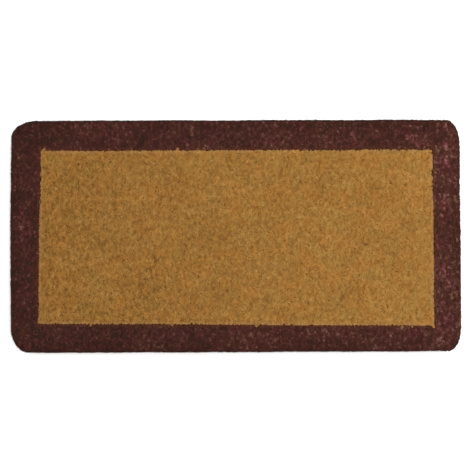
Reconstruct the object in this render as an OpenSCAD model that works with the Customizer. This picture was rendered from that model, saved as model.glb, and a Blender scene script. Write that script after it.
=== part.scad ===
// Handwoven coir door mat: cut pile with a dyed border, a woven yarn
// foundation, and a braid sewn round the edge of the foundation.
// The origin is on the floor under the middle of the mat. X runs along the
// mat's length, Y from its front to its rear, and Z up.

/* [Overall size] */
// Length of the mat, left to right
mat_len = 914; // [600:1:1300]
// Width of the mat, front to rear
mat_wid = 470; // [350:1:900]
// Height from the floor to the sheared top of the pile
mat_h = 36; // [28:0.5:50]
// Radius of three of the corners, seen from above
corner_r = 36; // [28:1:60]
// Radius of the fuller corner, at the rear left
full_corner_r = 40; // [28:1:60]

/* [Pile] */
// Width of the dyed border, seen from above
border_w = 57; // [50:1:90]
// Distance between two rows of tufts
row_pitch = 8; // [6:0.25:12]
// Gap between two neighbouring rows of tufts
row_gap = 0.4; // [0.2:0.1:1]
// How far the outer tufts lean out past their feet
pile_lean = 12; // [8:0.5:16]
// Height over which the outer tufts lean out
lean_h = 11; // [6:0.5:14]
// Radius that the shears leave along the top edge
shear_r = 7; // [3:0.5:9]

/* [Foundation yarns] */
// Diameter of a chain warp yarn, which binds the weft
chain_d = 2.2; // [1.6:0.1:3]
// How much of a chain yarn is pressed flat where it lies on the floor
chain_flat = 0.3; // [0.1:0.05:0.6]
// Diameter of a weft yarn
weft_d = 2.4; // [1.6:0.1:3]
// Diameter of a stuffer yarn, which lies straight between the wefts
stuffer_d = 2.4; // [1.6:0.1:3]
// Distance between two chain warps
chain_pitch = 9; // [7:0.5:14]

/* [Edge braid] */
// How far the outer tufts reach out past the sewn edge
edge_cover = 6; // [3:0.5:10]
// Diameter of the twine that sews the braid on
twine_d = 1.2; // [0.8:0.1:1.6]
// Distance between two stitches
stitch_pitch = 16; // [10:1:30]
// Clearance between the sewn edge's pieces
edge_fit = 0.15; // [0.1:0.05:0.3]

/* [Hidden] */

$fn = 48;
COIR = "#9a6d36";
DYED = "#4a2a24";
YARN = "#a98252";
BRAID = "#8f6a40";
TWINE = "#c9ac78";
FAR = 2000; // more than the mat's size, for cutting away

half_len = mat_len / 2;
half_wid = mat_wid / 2;

// Foundation layers, from the floor up: chain, weft, stuffer, weft, chain
base_h = 2 * chain_d + 2 * weft_d + stuffer_d;
mid_z = base_h / 2;
weft_rise = (weft_d + stuffer_d) / 2;   // from the middle to a weft's centre
chain_rise = (base_h - chain_d) / 2;    // from the middle to a chain's centre

// The sewn edge, as distances inwards from the pile's outline
braid_d = (base_h - 2 * twine_d - 2 * edge_fit) / 3;
stitch_w = braid_d + 2 * twine_d + 2 * edge_fit;
braid_in = edge_cover + stitch_w / 2;
yarn_in = edge_cover + stitch_w + edge_fit;
yarn_len = half_len - yarn_in;          // half the foundation's length
yarn_wid = half_wid - yarn_in;          // half the foundation's width
straight_len = yarn_len - mid_z;        // where the outermost chains turn down
weft_turn = weft_rise + weft_d / 2;     // how far a weft's turn reaches

// Rows of tufts
rows = round(mat_len / row_pitch);
row_step = mat_len / rows;
border_rows = round(border_w / row_step);

// Wefts lie between the rows, and chains and stuffers take turns across
wefts = 2 * floor(straight_len / row_step) + 1;
chains = 2 * floor((yarn_wid - weft_turn) / chain_pitch) + 1;
stuffers = chains - 1;

// Corners as [left or right, front or rear, radius]
CORNERS = [[-1, -1, corner_r], [1, -1, corner_r],
           [1, 1, corner_r], [-1, 1, full_corner_r]];

// A corner's radius in plan
function radius_at(sx, sy) =
    [for (c = CORNERS) if (c[0] == sx && c[1] == sy) c[2]][0];

// How far a round corner cuts in, at a distance from the far side
function cut_in(r, d) = d < r ? r - sqrt(max(0, r * r - pow(r - d, 2))) : 0;

// Half the foundation's length on side sx, at a place across the mat
function chain_end(sx, y) =
    yarn_len - cut_in(radius_at(sx, y < 0 ? -1 : 1) - yarn_in,
                      yarn_wid - abs(y) - chain_d / 2);

// Half the foundation's width on side sy, at a place along the mat
function weft_end(sy, x) =
    yarn_wid - cut_in(radius_at(x < 0 ? -1 : 1, sy) - yarn_in,
                      yarn_len - abs(x) - mid_z - weft_d / 2);

// Where a weft turns, pulled in if the next stuffer out is too near
function turn_at(y) =
    let (n = ceil(y / chain_pitch - 0.5), next = (n + 0.5) * chain_pitch)
    n < stuffers / 2
        ? min(y, next - weft_turn - stuffer_d / 2 - edge_fit) : y;

function chain_y(i) = (i - (chains - 1) / 2) * chain_pitch;
function stuffer_y(i) = (i - (stuffers - 1) / 2) * chain_pitch;
function weft_x(i) = (i - (wefts - 1) / 2) * row_step;
function row_x(i) = (i - (rows - 1) / 2) * row_step;

// ---- Pile ------------------------------------------------------------

// The edge of the pile in section, with its outer side at x = 0
module edge_section(depth) {
    polygon([[-depth, base_h], [-pile_lean, base_h], [0, base_h + lean_h],
             [0, mat_h - shear_r], [-shear_r, mat_h - shear_r],
             [-shear_r, mat_h], [-depth, mat_h]]);
    translate([-shear_r, mat_h - shear_r]) circle(shear_r);
}

// The mat's section from one outer side to the other
module whole_section(half) {
    translate([half, 0]) edge_section(half);
    mirror([1, 0]) translate([half, 0]) edge_section(half);
}

// The pile's outer shape, with square corners
module square_pile() {
    intersection() {
        rotate([90, 0, 0])
            linear_extrude(mat_wid, center = true) whole_section(half_len);
        rotate([90, 0, 90])
            linear_extrude(mat_len, center = true) whole_section(half_wid);
    }
}

// Puts what turns from X to Y round the origin round a corner's centre
module at_corner(c) {
    translate([c[0] * (half_len - c[2]), c[1] * (half_wid - c[2]), 0])
        rotate([0, 0, atan2(c[1], c[0]) - 45]) children();
}

// One round corner of the pile
module round_corner(c) {
    at_corner(c) rotate_extrude(angle = 90)
        translate([c[2], 0]) edge_section(c[2]);
}

// The pile's outer shape at one end of the mat, as long as the border
module end_pile(sx) {
    difference() {
        intersection() {
            square_pile();
            translate([sx * (half_len - border_rows * row_step / 2), 0, 0])
                cube([border_rows * row_step, FAR, FAR], center = true);
        }
        for (c = CORNERS)
            if (c[0] == sx)
                translate([sx * (half_len - c[2]) + (sx < 0 ? -FAR : 0),
                           c[1] * (half_wid - c[2]) + (c[1] < 0 ? -FAR : 0),
                           -1])
                    cube([FAR, FAR, FAR]);
    }
    for (c = CORNERS) if (c[0] == sx) round_corner(c);
}

// Slabs that part one row from the next at an end of the mat
module row_gaps(sx) {
    for (i = [1 : border_rows])
        translate([sx * (half_len - i * row_step), 0, 0])
            cube([row_gap, FAR, FAR], center = true);
}

module border_end(sx) {
    color(DYED) difference() {
        end_pile(sx);
        row_gaps(sx);
    }
}

// The ends of the middle rows, which make the border's long sides
module border_side(sy) {
    color(DYED)
        for (i = [border_rows : rows - border_rows - 1])
            translate([row_x(i), 0, 0])
                mirror([0, sy < 0 ? 1 : 0, 0])
                    translate([0, half_wid, 0]) rotate([90, 0, 90])
                        linear_extrude(row_step - row_gap, center = true)
                            edge_section(border_w);
}

module pile_field() {
    color(COIR)
        for (i = [border_rows : rows - border_rows - 1])
            translate([row_x(i), 0, (base_h + mat_h) / 2])
                cube([row_step - row_gap, mat_wid - 2 * border_w - row_gap,
                      mat_h - base_h], center = true);
}

module pile_border_front() { border_side(-1); }
module pile_border_rear() { border_side(1); }
module pile_border_left() { border_end(-1); }
module pile_border_right() { border_end(1); }

// ---- Foundation ------------------------------------------------------

// A straight yarn along X, from x0 to x1
module yarn_x(x0, x1, d) {
    translate([x0, 0, 0]) rotate([0, 90, 0]) cylinder(h = x1 - x0, d = d);
}

// Half a ring of yarn that turns outwards past x = 0
module half_ring(rise, d) {
    rotate([90, 0, 0]) rotate([0, 0, -90])
        rotate_extrude(angle = 180) translate([rise, 0]) circle(d = d);
}

module chain_warp_upper() {
    color(YARN) for (i = [0 : chains - 1])
        translate([0, chain_y(i), mid_z + chain_rise])
            yarn_x(-chain_end(-1, chain_y(i)) + mid_z,
                   chain_end(1, chain_y(i)) - mid_z, chain_d);
}

// The lower chains are pressed flat on the floor
module chain_warp_lower() {
    color(YARN) for (i = [0 : chains - 1]) {
        x0 = -chain_end(-1, chain_y(i)) + mid_z;
        x1 = chain_end(1, chain_y(i)) - mid_z;
        translate([x0, chain_y(i), mid_z - chain_rise]) rotate([90, 0, 90])
            linear_extrude(x1 - x0) difference() {
                circle(d = chain_d + 2 * chain_flat);
                translate([0, -chain_d]) square([2 * chain_d, chain_d],
                                                center = true);
                translate([0, chain_d]) square([2 * chain_d, chain_d],
                                               center = true);
            }
    }
}

module stuffer_warp() {
    color(YARN) for (i = [0 : stuffers - 1])
        translate([0, stuffer_y(i), mid_z])
            yarn_x(-chain_end(-1, stuffer_y(i)) + mid_z,
                   chain_end(1, stuffer_y(i)) - mid_z, stuffer_d);
}

// Each weft goes across over the stuffers, turns, and comes back under them
module weft_yarns() {
    color(YARN) for (i = [0 : wefts - 1]) {
        front = turn_at(weft_end(-1, weft_x(i)) - weft_turn);
        rear = turn_at(weft_end(1, weft_x(i)) - weft_turn);
        turn = i % 2 == 0 ? rear : -front;
        way = i % 2 == 0 ? 90 : -90;
        translate([weft_x(i), turn, mid_z]) {
            for (side = [-1, 1])
                translate([0, 0, side * weft_rise]) rotate([way, 0, 0])
                    cylinder(h = front + rear, d = weft_d);
            rotate([0, 0, way]) half_ring(weft_rise, weft_d);
        }
    }
}

// The chains' ends, turned down and tucked under the mat
module warp_tucks(sx) {
    color(YARN) for (i = [0 : chains - 1])
        translate([sx * (chain_end(sx, chain_y(i)) - mid_z), chain_y(i),
                   mid_z])
            rotate([0, 0, sx < 0 ? 180 : 0]) half_ring(chain_rise, chain_d);
}

module warp_tucks_left() { warp_tucks(-1); }
module warp_tucks_right() { warp_tucks(1); }

// ---- Edge ------------------------------------------------------------

// Runs a section right round the mat; its x is 0 at the pile's outline
module run_round() {
    for (i = [0 : 3]) {
        c = CORNERS[i];
        next = CORNERS[(i + 1) % 4];
        side = (c[1] == next[1] ? mat_len : mat_wid) - c[2] - next[2];
        at_corner(c) {
            rotate_extrude(angle = 90) translate([c[2], 0]) children();
            rotate([90, 0, 90]) translate([0, 0, -side])
                linear_extrude(side) translate([c[2], 0]) children();
        }
    }
}

// One strand of the braid, right round the foundation
module braid_strand(level) {
    color(BRAID) translate([0, 0, mid_z + (level - 1) * braid_d])
        run_round() translate([-braid_in, 0]) circle(d = braid_d);
}

module braid_strand_lower() { braid_strand(0); }
module braid_strand_middle() { braid_strand(1); }
module braid_strand_upper() { braid_strand(2); }

// One stitch, a loop of twine round the braid, whose strands run along Y
module stitch() {
    translate([0, 0, mid_z]) rotate([90, 0, 0])
        linear_extrude(twine_d, center = true) difference() {
            square([stitch_w, base_h], center = true);
            square([stitch_w - 2 * twine_d, base_h - 2 * twine_d],
                   center = true);
        }
}

// Stitches spread evenly from one place to another along a side
module stitch_row(from, to) {
    count = floor((to - from) / stitch_pitch);
    for (i = [0 : count])
        translate([0, from + i * (to - from) / count, 0]) stitch();
}

// Stitches along a long side, between its two corners
module stitches_along(sy) {
    color(TWINE) translate([0, sy * (half_wid - braid_in), 0])
        rotate([0, 0, -90])
            stitch_row(-(half_len - radius_at(-1, sy)),
                       half_len - radius_at(1, sy));
}

// Stitches along a short side and in the middle of its two corners
module stitches_across(sx) {
    color(TWINE) {
        translate([sx * (half_len - braid_in), 0, 0])
            stitch_row(-(half_wid - radius_at(sx, -1)),
                       half_wid - radius_at(sx, 1));
        for (c = CORNERS) if (c[0] == sx)
            at_corner(c) rotate([0, 0, 45])
                translate([c[2] - braid_in, 0, 0]) stitch();
    }
}

module edge_stitches_front() { stitches_along(-1); }
module edge_stitches_rear() { stitches_along(1); }
module edge_stitches_left() { stitches_across(-1); }
module edge_stitches_right() { stitches_across(1); }

pile_field();
pile_border_front();
pile_border_rear();
pile_border_left();
pile_border_right();
chain_warp_upper();
chain_warp_lower();
stuffer_warp();
weft_yarns();
warp_tucks_left();
warp_tucks_right();
braid_strand_lower();
braid_strand_middle();
braid_strand_upper();
edge_stitches_front();
edge_stitches_rear();
edge_stitches_left();
edge_stitches_right();
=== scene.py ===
"""Looks for a handwoven coir door mat.

The mat is cut coir pile with a dyed border. The pile stands on a woven yarn
foundation, whose edge is covered by a plaited braid sewn on with twine.
Lengths are metres. X runs along the mat, Y from its front to its rear, Z up.
"""
import logging
import math
from dataclasses import dataclass
from enum import Enum
from functools import cache
from typing import Any, Callable, Sequence, Union

import bpy
import numpy as np
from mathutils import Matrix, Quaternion, Vector


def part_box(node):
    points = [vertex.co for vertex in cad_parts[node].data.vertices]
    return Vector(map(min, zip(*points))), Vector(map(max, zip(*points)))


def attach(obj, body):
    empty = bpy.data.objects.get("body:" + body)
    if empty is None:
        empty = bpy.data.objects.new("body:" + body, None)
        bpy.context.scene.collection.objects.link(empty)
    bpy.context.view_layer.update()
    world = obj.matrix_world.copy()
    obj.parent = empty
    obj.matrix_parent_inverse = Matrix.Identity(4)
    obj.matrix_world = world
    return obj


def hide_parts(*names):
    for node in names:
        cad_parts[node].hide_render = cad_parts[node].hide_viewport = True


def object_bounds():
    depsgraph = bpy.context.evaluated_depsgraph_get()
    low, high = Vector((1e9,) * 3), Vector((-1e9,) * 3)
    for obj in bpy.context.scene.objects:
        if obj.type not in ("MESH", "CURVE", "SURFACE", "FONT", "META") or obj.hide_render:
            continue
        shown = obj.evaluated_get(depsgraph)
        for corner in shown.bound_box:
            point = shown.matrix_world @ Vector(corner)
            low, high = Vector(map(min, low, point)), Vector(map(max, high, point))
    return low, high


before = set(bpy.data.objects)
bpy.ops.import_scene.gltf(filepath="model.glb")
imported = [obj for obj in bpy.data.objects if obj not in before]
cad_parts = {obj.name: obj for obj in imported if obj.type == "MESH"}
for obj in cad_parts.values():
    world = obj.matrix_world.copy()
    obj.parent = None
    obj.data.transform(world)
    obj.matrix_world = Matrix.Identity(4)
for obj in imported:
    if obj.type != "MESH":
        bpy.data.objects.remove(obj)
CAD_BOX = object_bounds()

MM = 0.001
ROW_STEP = 914 * MM / 114
BORDER = 57 * MM
CORNER_STEPS = 46
BODY = "root"
log = logging.getLogger("door_mat")

Array = np.ndarray
Colour = tuple[float, float, float]


# ---- Node trees --------------------------------------------------------


def operator(operation: str, turned: bool = False) -> Callable[..., "Wire"]:
    """A method of Wire that adds one Math node.

    Args:
        operation: what the node does.
        turned: whether the other value comes first.

    Returns:
        The method.
    """
    def method(self: "Wire", other: "Value") -> "Wire":
        """This value and another, through the node."""
        pair = (other, self) if turned else (self, other)
        return self.tree.math(operation, *pair)
    return method


class Wire:
    """An output socket whose arithmetic adds Math nodes to its tree."""

    __add__, __radd__ = operator("ADD"), operator("ADD", True)
    __sub__, __rsub__ = operator("SUBTRACT"), operator("SUBTRACT", True)
    __mul__, __rmul__ = operator("MULTIPLY"), operator("MULTIPLY", True)
    __pow__, __rpow__ = operator("POWER"), operator("POWER", True)

    def __init__(self, tree: "Tree", socket: bpy.types.NodeSocket) -> None:
        """Keeps the output socket and the tree that it is in."""
        self.tree = tree
        self.socket = socket

    def sine(self) -> "Wire":
        """The sine of this value in radians."""
        return self.tree.math("SINE", self)

    def above(self, low: float, high: float) -> "Wire":
        """0 below one limit and 1 above the other, smooth between them.

        Args:
            low: where the result leaves 0.
            high: where the result reaches 1.

        Returns:
            The stepped value.
        """
        ranged = self.tree.add(
            "ShaderNodeMapRange", {"interpolation_type": "SMOOTHSTEP"},
            {"Value": self, "From Min": low, "From Max": high})
        return ranged["Result"]


Value = Union[Wire, float]


class Made:
    """A node just added, whose outputs are asked for by name."""

    def __init__(self, tree: "Tree", node: bpy.types.Node) -> None:
        """Keeps the node and the tree that it is in."""
        self.tree = tree
        self.node = node

    def __getitem__(self, name: str) -> Wire:
        """The shown output of that name."""
        found = [s for s in self.node.outputs if s.enabled and s.name == name]
        return Wire(self.tree, found[0])


class Tree:
    """A node tree with one way of adding a node."""

    def __init__(self, tree: bpy.types.NodeTree) -> None:
        """Keeps the tree that the nodes go into."""
        self.tree = tree

    def add(self, kind: str, settings: dict[str, Any] | None = None,
            sockets: dict[Union[str, int], Any] | None = None) -> Made:
        """Adds a node, sets it, and then fills its sockets.

        Args:
            kind: the node's type.
            settings: its properties, and "stops" for a ramp's colours.
            sockets: the value or wire of each input, by name or number.

        Returns:
            The node, ready for its outputs to be used.
        """
        node = self.tree.nodes.new(kind)
        for name, value in (settings or {}).items():
            if name == "stops":
                self._fill_ramp(node, value)
            else:
                setattr(node, name, value)
        for name, value in (sockets or {}).items():
            if isinstance(name, int):
                socket = node.inputs[name]
            else:
                socket = [s for s in node.inputs
                          if s.enabled and s.name == name][0]
            if isinstance(value, Wire):
                self.tree.links.new(value.socket, socket)
            else:
                socket.default_value = value
        return Made(self, node)

    @staticmethod
    def _fill_ramp(node: bpy.types.Node,
                   stops: Sequence[tuple[float, Colour]]) -> None:
        """Gives a ramp its colours.

        Args:
            node: the ramp's node.
            stops: each place on the ramp with its colour.
        """
        elements = node.color_ramp.elements
        while len(elements) < len(stops):
            elements.new(1.0)
        for element, (place, colour) in zip(elements, stops):
            element.position = place
            element.color = (*colour, 1.0)

    def math(self, operation: str, *values: Value) -> Wire:
        """One Math node.

        Args:
            operation: what it does.
            values: its inputs in order.

        Returns:
            Its result.
        """
        made = self.add("ShaderNodeMath", {"operation": operation},
                        dict(enumerate(values)))
        return made["Value"]


class Shader(Tree):
    """A material's node tree, with the patterns that this mat's finishes use."""

    def __init__(self, name: str) -> None:
        """Starts an empty material.

        Args:
            name: the material's name.
        """
        self.material = bpy.data.materials.new(name)
        self.material.use_nodes = True
        super().__init__(self.material.node_tree)
        self.tree.nodes.clear()
        self.place = self.add("ShaderNodeTexCoord")["Object"]

    def attribute(self, name: str, output: str = "Fac") -> Wire:
        """What a mesh says at each point under that name."""
        return self.add("ShaderNodeAttribute", {"attribute_name": name})[output]

    def noise(self, size: float, stretch: Colour = (1.0, 1.0, 1.0),
              detail: float = 2.0) -> Wire:
        """Noise in the mat's own space, from 0 to 1.

        Args:
            size: the size of its lumps in metres.
            stretch: how many lumps long they are along X, Y and Z.
            detail: how many finer levels it has.

        Returns:
            The noise.
        """
        scale = tuple(1.0 / s for s in stretch)
        spot = self.add("ShaderNodeMapping", {"vector_type": "POINT"},
                        {"Vector": self.place, "Scale": scale})["Vector"]
        made = self.add("ShaderNodeTexNoise", {"noise_dimensions": "3D"},
                        {"Vector": spot, "Scale": 1.0 / size,
                         "Detail": detail, "Roughness": 0.55})
        return made["Fac"]

    def blend(self, share: Value, first: Any, second: Any,
              how: str = "MIX") -> Wire:
        """Two colours mixed.

        Args:
            share: how much of the second there is.
            first: the first colour or wire.
            second: the second colour or wire.
            how: the way they are mixed.

        Returns:
            The mixed colour.
        """
        pair = [c if isinstance(c, Wire) else (*c, 1.0)
                for c in (first, second)]
        made = self.add("ShaderNodeMix",
                        {"data_type": "RGBA", "blend_type": how,
                         "clamp_factor": True},
                        {"Factor": share, "A": pair[0], "B": pair[1]})
        return made["Result"]

    def finish(self, colour: Wire, roughness: Value, relief: Wire,
               depth: float, gloss: float) -> bpy.types.Material:
        """Ends the tree in one surface.

        Args:
            colour: the base colour.
            roughness: the roughness.
            relief: the height that the bump follows.
            depth: the bump's depth in metres.
            gloss: the specular level.

        Returns:
            The material.
        """
        bump = self.add("ShaderNodeBump", {},
                        {"Strength": 1.0, "Distance": depth,
                         "Height": relief})["Normal"]
        surface = self.add("ShaderNodeBsdfPrincipled", {},
                           {"Base Color": colour, "Roughness": roughness,
                            "Specular IOR Level": gloss, "Normal": bump})
        self.add("ShaderNodeOutputMaterial", {},
                 {"Surface": surface["BSDF"]})
        return self.material


# ---- Finishes ----------------------------------------------------------


@dataclass(frozen=True)
class PileFinish:
    """Cut coir fibre, natural or dyed."""

    name: str
    slot: str
    stops: tuple[tuple[float, Colour], ...]
    # root, with its share and power, is painted shade: darker towards each strand's foot,
    # deep in the pile.
    root: Colour = (0.0, 0.0, 0.0)
    root_shade_share: float = 0.0
    root_shade_power: float = 1.4
    # The seam colour is painted along the field's edge: painted shade on the dyed border,
    # a lighter edge on the natural field.
    seam: Colour = (0.0, 0.0, 0.0)
    seam_share: float = 0.0
    warm: Colour = (1.04, 0.98, 0.88)
    cool: Colour = (0.97, 1.03, 1.02)
    tint_size: float = 22 * MM
    tint_edge: tuple[float, float] = (0.3, 0.7)
    middle: float = 0.42
    fibre_share: float = 0.07
    tone_share: float = 0.12
    speck_share: float = 0.05
    speck_power: float = 8.0
    streak_share: float = 0.07
    clump_share: float = 1.05
    clump_size: float = 6.5 * MM
    clump_stretch: Colour = (1.0, 1.6, 1.0)
    patch_share: float = 0.28
    patch_size: float = 60 * MM
    streak_size: float = 0.9 * MM
    streak_length: float = 9.0
    faded_share: float = 0.16
    matt: float = 0.58
    matt_range: float = 0.22
    relief: float = 0.25 * MM
    gloss: float = 0.2

    def build(self) -> bpy.types.Material:
        """Makes the material.

        Returns:
            The material.
        """
        shader = Shader(self.name)
        streak = shader.noise(self.streak_size, (1, 1, self.streak_length))
        patch = shader.noise(self.patch_size, detail=3.0)
        clump = shader.noise(self.clump_size, self.clump_stretch)
        tone = shader.attribute("tone")
        # The last term is painted light and shade: lighter towards the right and the rear
        # where more light falls, darker at the outline's rim.
        pick = (self.middle
                + (shader.attribute("fibre") - 0.5) * self.fibre_share
                + (tone - 0.5) * self.tone_share
                + tone ** self.speck_power * self.speck_share
                + (streak - 0.5) * self.streak_share
                + (clump - 0.5) * self.clump_share
                + (patch - 0.5) * self.patch_share
                + shader.attribute("faded") * self.faded_share)
        colour = shader.add("ShaderNodeValToRGB", {"stops": self.stops},
                            {"Fac": pick})["Color"]
        # Painted shade: the colour darkens towards each strand's foot, deep in the pile
        # where shade falls.
        depth_shade = (1.0 - shader.attribute("height")) ** self.root_shade_power
        colour = shader.blend(depth_shade * self.root_shade_share, colour, self.root)
        side = shader.noise(self.tint_size).above(*self.tint_edge)
        tint = shader.blend(side, self.cool, self.warm)
        colour = shader.blend(1.0, colour, tint, "MULTIPLY")
        # Painted at the field's edge: on the dyed border a dark line of painted shade in
        # the gap between the rows, on the natural field a lighter edge.
        seam = shader.attribute("seam") * self.seam_share
        colour = shader.blend(seam, colour, self.seam)
        return shader.finish(colour, self.matt + streak * self.matt_range,
                             streak, self.relief, self.gloss)


@dataclass(frozen=True)
class YarnFinish:
    """Coir yarn or twine, spun from two plies."""

    name: str
    slot: str
    light: Colour
    dark: Colour
    lay: float = 7 * MM
    hair_size: float = 0.5 * MM
    ply_share: float = 0.55
    hair_share: float = 0.6
    matt: float = 0.62
    matt_range: float = 0.2
    relief: float = 0.4 * MM
    gloss: float = 0.2

    @cache
    def made(self) -> bpy.types.Material:
        """Makes the material once, with the twist of its plies.

        Returns:
            The material.
        """
        shader = Shader(self.name)
        around = shader.attribute("around", "Vector")
        split = shader.add("ShaderNodeSeparateXYZ", {}, {"Vector": around})
        angle = shader.math("ARCTAN2", split["Y"], split["X"])
        turn = shader.attribute("along") * (2 * math.pi / self.lay)
        ply = (angle * 2.0 + turn).sine() * 0.5 + 0.5
        hair = shader.noise(self.hair_size, (3.0, 1.0, 1.0), 3.0)
        # The plies' grooves take the dark colour where the bump is low, a painted shade;
        # the hair noise is the fibre's own tone.
        pick = ply * self.ply_share + hair * self.hair_share - 0.1
        colour = shader.blend(pick, self.dark, self.light)
        height = ply ** 0.6 * 0.8 + hair * 0.3
        return shader.finish(colour, self.matt + hair * self.matt_range,
                             height, self.relief, self.gloss)


@dataclass(frozen=True)
class FloorFinish:
    """A plain pale studio floor."""

    name: str = "studio_floor"
    pale: Colour = (0.90, 0.90, 0.90)
    paler: Colour = (0.94, 0.94, 0.94)
    patch_size: float = 400 * MM
    matt: float = 0.9
    relief: float = 0.05 * MM
    gloss: float = 0.1

    def build(self) -> bpy.types.Material:
        """Makes the material.

        Returns:
            The material.
        """
        shader = Shader(self.name)
        grain = shader.noise(self.patch_size)
        colour = shader.blend(grain, self.pale, self.paler)
        return shader.finish(colour, self.matt, grain, self.relief,
                             self.gloss)


NATURAL = PileFinish(
    "natural_coir", "natural_pile",
    ((0.05, (0.109, 0.046, 0.008)), (0.35, (0.201, 0.094, 0.019)),
     (0.60, (0.258, 0.129, 0.029)), (0.85, (0.313, 0.177, 0.057)),
     (1.00, (0.396, 0.267, 0.124))),
    root=(0.120, 0.053, 0.013), root_shade_share=0.6,
    seam=(0.267, 0.147, 0.064), seam_share=0.50,
    fibre_share=0.02, tone_share=0.05, streak_share=0.04, gloss=0.10)
DYED = PileFinish(
    "dyed_coir", "dyed_pile",
    ((0.05, (0.0145, 0.0050, 0.0035)), (0.40, (0.0345, 0.0088, 0.0050)),
     (0.62, (0.0545, 0.0158, 0.0118)), (0.85, (0.1150, 0.0530, 0.0425)),
     (1.00, (0.1600, 0.0860, 0.0720))),
    root=(0.016, 0.006, 0.005), root_shade_share=0.6,
    seam=(0.055, 0.0135, 0.002), seam_share=0.85,
    warm=(1.00, 1.03, 0.80), cool=(1.15, 0.90, 1.02), speck_share=0.20,
    clump_share=1.2, patch_share=0.66, faded_share=0.12, gloss=0.12)
LOOSE_NATURAL = PileFinish(
    "loose_natural_fibre", "natural_pile",
    ((0.00, (0.290, 0.145, 0.040)), (0.50, (0.500, 0.290, 0.100)),
     (1.00, (0.700, 0.480, 0.230))))
LOOSE_DYED = PileFinish(
    "loose_dyed_fibre", "dyed_pile",
    ((0.00, (0.120, 0.040, 0.036)), (0.45, (0.165, 0.066, 0.056)),
     (1.00, (0.290, 0.155, 0.120))))
BASE_YARN = YarnFinish("base_yarn_coir", "base_yarn",
                       light=(0.400, 0.235, 0.100),
                       dark=(0.150, 0.078, 0.030))
BRAID_COIR = YarnFinish("braid_coir", "edge_braid",
                        light=(0.330, 0.170, 0.066),
                        dark=(0.120, 0.056, 0.022), lay=9 * MM)
TWINE = YarnFinish("sewing_twine_jute", "sewing_twine",
                   light=(0.600, 0.430, 0.230),
                   dark=(0.300, 0.190, 0.090), lay=3 * MM,
                   hair_size=0.3 * MM)


# ---- Shape in plan -----------------------------------------------------


class Corner(Enum):
    """A corner of the mat, as its side along X and its side along Y."""

    FRONT_LEFT = (-1, -1)
    FRONT_RIGHT = (1, -1)
    REAR_RIGHT = (1, 1)
    REAR_LEFT = (-1, 1)


Turns = dict[Corner, tuple[float, float]]
PILE_TURNS: Turns = {
    Corner.FRONT_LEFT: (34 * MM, 50 * MM),
    Corner.FRONT_RIGHT: (24 * MM, 46 * MM),
    Corner.REAR_RIGHT: (25 * MM, 48 * MM),
    Corner.REAR_LEFT: (46 * MM, 32 * MM)}
SEWN_TURNS: Turns = {corner: (36 * MM, 36 * MM) for corner in Corner}
SEWN_TURNS[Corner.REAR_LEFT] = (40 * MM, 40 * MM)


@dataclass(frozen=True)
class Outline:
    """A rectangle in plan with a quarter of an ellipse at each corner."""

    half_len: float
    half_wid: float
    top: float
    base: float
    turns: Turns

    @classmethod
    def of_frame(cls, turns: Turns) -> "Outline":
        """The mat's outline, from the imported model's own boxes.

        Args:
            turns: how far each corner's turn reaches along X and along Y.

        Returns:
            The outline.
        """
        low, high = CAD_BOX
        pile_low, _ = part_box("pile_field")
        return cls(half_len=(high.x - low.x) / 2, half_wid=(high.y - low.y) / 2,
                   top=high.z, base=pile_low.z, turns=turns)

    @property
    def half(self) -> Array:
        """Half the length and half the width."""
        return np.array([self.half_len, self.half_wid])

    def inset(self, spots: Array) -> Array:
        """How far inside the outline each place is.

        Args:
            spots: places in plan, one a row.

        Returns:
            The distance inwards, which is negative outside.
        """
        reach = np.empty(spots.shape)
        for corner, turn in self.turns.items():
            mine = ((spots * corner.value) >= 0).all(axis=1)
            reach[mine] = turn
        over = np.abs(spots) - (self.half - reach)
        share = np.maximum(over, 0) / reach
        length = np.hypot(*share.T)
        slope = np.hypot(*(share / reach).T) / np.maximum(length, 1e-9)
        turned = (1 - length) / np.maximum(slope, 1e-9)
        straight = (self.half - np.abs(spots)).min(axis=1)
        return np.where(length > 1e-6, turned, straight)

    def outward(self, spots: Array, radius: float) -> Array:
        """A direction outwards that turns smoothly round the corners.

        Args:
            spots: places in plan, one a row.
            radius: how wide the turn is.

        Returns:
            Unit vectors, or zero in the middle of the mat.
        """
        over = np.maximum(np.abs(spots) - (self.half - radius), 0)
        length = np.hypot(*over.T)[:, None]
        return np.sign(spots) * over / np.maximum(length, 1e-9)

    def walk(self, inset: float, step: float) -> tuple[Array, Array]:
        """Even steps right round the mat, counterclockwise.

        Args:
            inset: how far inside the outline the walk keeps.
            step: the distance between two steps, near enough.

        Returns:
            The places, and the direction outwards at each of them.
        """
        spots, ways = [], []
        for corner, turn in self.turns.items():
            sign = np.array(corner.value)
            start = math.atan2(sign[1], sign[0]) - math.pi / 4
            angle = start + np.linspace(0, math.pi / 2, CORNER_STEPS)
            round_way = np.stack([np.cos(angle), np.sin(angle)], axis=1)
            reach = np.array(turn) - inset
            spots.append(sign * (self.half - turn) + round_way * reach)
            way = round_way / reach
            ways.append(way / np.hypot(*way.T)[:, None])
        spot, way = np.concatenate(spots), np.concatenate(ways)
        spot = np.vstack([spot, spot[:1]])
        way = np.vstack([way, way[:1]])
        run = np.concatenate([[0], np.cumsum(np.hypot(*np.diff(spot.T)))])
        count = round(run[-1] / step)
        at = np.arange(count) * run[-1] / count
        found = np.stack([np.interp(at, run, spot[:, i]) for i in (0, 1)], 1)
        turned = np.stack([np.interp(at, run, way[:, i]) for i in (0, 1)], 1)
        return found, turned / np.hypot(*turned.T)[:, None]


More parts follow.
